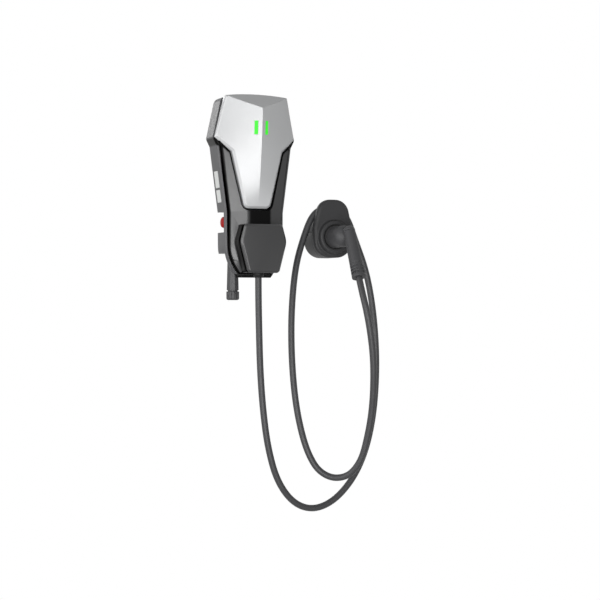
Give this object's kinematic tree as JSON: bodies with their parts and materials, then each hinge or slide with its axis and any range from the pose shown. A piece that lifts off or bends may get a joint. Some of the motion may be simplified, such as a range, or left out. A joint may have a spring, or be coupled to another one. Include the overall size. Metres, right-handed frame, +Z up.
{
  "type": "ev wallbox",
  "caption": "Wall-mounted charging point for electric cars, with a stop button, a status light, a card reader cover, a tethered cable and a plug in its wall holster.",
  "frame": {"origin": "middle of the wall bracket's back face, in the plane of the wall", "axes": "+X to the right seen from the front, +Y into the wall, +Z up; the front faces -Y"},
  "size_m": [0.4468, 0.247, 1.0186],
  "materials": {
    "bracket_steel": "zinc-plated sheet",
    "screw_steel": "zinc-plated steel",
    "rear_plastic": "fine-grained dark grey moulding",
    "front_plastic": "black moulding",
    "seal_rubber": "soft black rubber",
    "trim_silver": "silver lacquer, satin",
    "reader_plastic": "dark grey moulding, satin front",
    "light_guide": "translucent green",
    "board_green": "solder mask",
    "electrical_plastic": "light grey moulding",
    "relay_plastic": "black moulding",
    "standoff_brass": "turned brass",
    "stop_red": "red moulding",
    "stop_grey": "grey moulding",
    "gland_plastic": "black polyamide",
    "cable_rubber": "black cable sheath, slight sheen",
    "holster_plastic": "fine-grained dark grey moulding",
    "plug_plastic": "dark grey moulding",
    "grip_rubber": "soft black grip",
    "contact_silver": "silver-plated brass"
  },
  "bodies": {
    "housing": {"wall_bracket": "bracket_steel", "bracket_screws": "screw_steel", "rear_shell": "rear_plastic", "parting_seal": "seal_rubber", "front_shell": "front_plastic", "trim_cover": "trim_silver", "reader_cover": "reader_plastic", "status_light": "light_guide", "status_board": "board_green", "reader_board": "board_green", "control_board": "board_green", "power_board": "board_green", "board_standoffs": "standoff_brass", "power_relays": "relay_plastic", "leakage_sensor": "relay_plastic", "supply_terminal_block": "electrical_plastic", "output_terminal_block": "electrical_plastic", "cover_screws": "screw_steel", "vent_plug": "gland_plastic", "stop_collar": "stop_grey", "stop_lock_nut": "gland_plastic", "stop_contact_block": "electrical_plastic", "supply_gland_sleeve": "gland_plastic", "supply_gland_nut": "gland_plastic", "supply_gland_seal": "seal_rubber", "outlet_gland": "gland_plastic", "outlet_gland_nut": "gland_plastic", "charging_cable": "cable_rubber", "holster_base": "holster_plastic", "holster_front": "holster_plastic", "holster_ring": "holster_plastic", "holster_socket": "holster_plastic", "plug_barrel": "plug_plastic", "plug_nose": "plug_plastic", "plug_contacts": "contact_silver", "plug_seal": "seal_rubber", "plug_handle": "grip_rubber", "plug_cap": "plug_plastic", "plug_boot": "grip_rubber"},
    "stop_plunger": {"stop_plunger": "stop_grey"},
    "stop_head": {"stop_head": "stop_red"}
  },
  "joints": [
    {"name": "stop_press", "type": "slide", "parent": "housing", "child": "stop_plunger", "axis": [1, 0, 0], "range_m": [0, 0.004], "stiffness_N_per_m": 600, "springref_m": -0.001},
    {"name": "stop_twist", "type": "hinge", "parent": "stop_plunger", "child": "stop_head", "pos_m": [-0.073, -0.026, -0.0823], "axis": [1, 0, 0], "range_deg": [0, 40], "stiffness_Nm_per_rad": 0.05}
  ]
}
